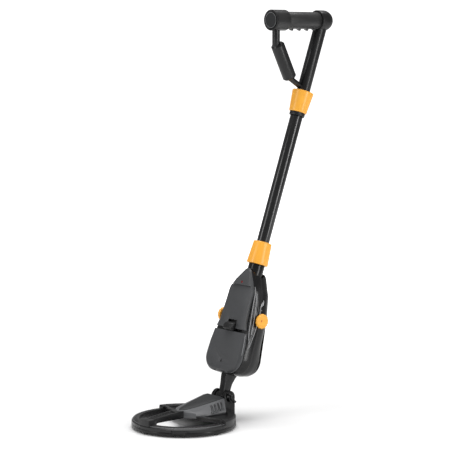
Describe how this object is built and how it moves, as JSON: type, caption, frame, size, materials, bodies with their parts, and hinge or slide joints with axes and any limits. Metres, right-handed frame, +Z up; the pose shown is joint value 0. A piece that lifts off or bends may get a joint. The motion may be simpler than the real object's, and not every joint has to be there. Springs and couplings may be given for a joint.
{
  "type": "metal detector",
  "caption": "Hand-held metal detector: round search coil on a friction hinge, control box with side knobs, telescoping shaft, twist collars and D-shaped handle.",
  "frame": {"origin": "on the ground under the middle of the object's box, with the coil lying flat", "axes": "+Z up, the height being the longest extent; X across, the shortest extent and the symmetry direction; the shaft leans back to +Y and the grip's free end points to -Y"},
  "size_m": [0.157, 0.3808, 0.618],
  "materials": {
    "grip_plastic": "satin",
    "grip_rubber": "matte, fine grain",
    "tube_black": "gloss",
    "collar_orange": "satin gloss, light moulding",
    "shell_black": "satin gloss",
    "panel_grey": "fine satin texture",
    "trim_grey": "satin",
    "dark_part": "satin",
    "lamp_red": "clear red",
    "screw_steel": "zinc plated",
    "pot_metal": "plain",
    "board_green": "solder mask",
    "battery_case": "painted can",
    "coil_black": "satin",
    "fin_grey": "satin",
    "copper": "enamelled wire",
    "rubber_black": "matte"
  },
  "bodies": {
    "handle": {"grip_core": "grip_plastic", "grip_sleeve": "grip_rubber", "grip_front_cap": "grip_plastic", "grip_rear_dome": "grip_plastic", "handle_leg": "grip_plastic", "front_post": "grip_plastic", "brace_sleeve": "grip_plastic", "brace_strut": "grip_plastic", "leg_thread_ring": "dark_part", "joint_spigot": "dark_part", "upper_collet": "dark_part", "shaft_tube": "tube_black", "shaft_end_plug": "dark_part"},
    "upper_collar": {"upper_collar": "collar_orange"},
    "control_box": {"neck_socket": "shell_black", "lower_collet": "dark_part", "rear_shell": "shell_black", "front_shell": "shell_black", "face_panel": "panel_grey", "nose_panel": "panel_grey", "lamp_lens": "lamp_red", "side_trims": "trim_grey", "volume_pot": "pot_metal", "tuning_pot": "pot_metal", "circuit_board": "board_green", "speaker": "dark_part", "battery": "battery_case", "battery_snap": "dark_part", "shell_screws": "screw_steel", "lower_stem": "shell_black"},
    "lower_collar": {"lower_collar": "collar_orange"},
    "battery_door": {"battery_door": "panel_grey", "door_screw": "screw_steel"},
    "door_latch": {"door_latch": "dark_part"},
    "volume_knob": {"volume_knob": "collar_orange", "volume_spindle": "screw_steel"},
    "tuning_knob": {"tuning_knob": "collar_orange", "tuning_spindle": "screw_steel"},
    "coil": {"coil_top": "coil_black", "coil_bottom": "coil_black", "rear_deck": "dark_part", "coil_arm": "coil_black", "hinge_ears": "coil_black", "fin_housing": "fin_grey", "fin_leaf_cap": "fin_grey", "transmit_winding": "copper", "receive_winding": "copper", "coil_windows": "dark_part", "coil_feet": "rubber_black", "coil_screws": "screw_steel", "hinge_bolt": "coil_black", "hinge_washers": "rubber_black"},
    "wing_nut": {"wing_nut": "coil_black"}
  },
  "joints": [
    {"name": "shaft_slide", "type": "slide", "parent": "handle", "child": "control_box", "axis": [0, 0.3486, 0.9373], "range_m": [0, 0.05]},
    {"name": "upper_collar_turn", "type": "hinge", "parent": "handle", "child": "upper_collar", "pos_m": [0, 0.12462, 0.46615], "axis": [0, 0.3486, 0.9373], "range_deg": [0, 180]},
    {"name": "lower_collar_turn", "type": "hinge", "parent": "control_box", "child": "lower_collar", "pos_m": [0, 0.04271, 0.24589], "axis": [0, 0.3486, 0.9373], "range_deg": [0, 180]},
    {"name": "volume_turn", "type": "hinge", "parent": "control_box", "child": "volume_knob", "pos_m": [0.043, 0.0075, 0.15122], "axis": [1, 0, 0], "range_deg": [-150, 150]},
    {"name": "tuning_turn", "type": "hinge", "parent": "control_box", "child": "tuning_knob", "pos_m": [-0.043, 0.0075, 0.15122], "axis": [1, 0, 0], "range_deg": [-150, 150]},
    {"name": "door_open", "type": "hinge", "parent": "control_box", "child": "battery_door", "pos_m": [0, -0.03765, 0.07573], "axis": [1, 0, 0], "range_deg": [0, 100]},
    {"name": "latch_slide", "type": "slide", "parent": "control_box", "child": "door_latch", "axis": [0, 0.3486, 0.9373], "range_m": [0, 0.003], "stiffness_N_per_m": 300, "springref_m": -0.002},
    {"name": "coil_tilt", "type": "hinge", "parent": "control_box", "child": "coil", "pos_m": [0, -0.03292, 0.035], "axis": [1, 0, 0], "range_deg": [-60, 65]},
    {"name": "wing_nut_turn", "type": "hinge", "parent": "coil", "child": "wing_nut", "pos_m": [0.018, -0.03292, 0.035], "axis": [1, 0, 0], "range_deg": [0, 360]}
  ]
}
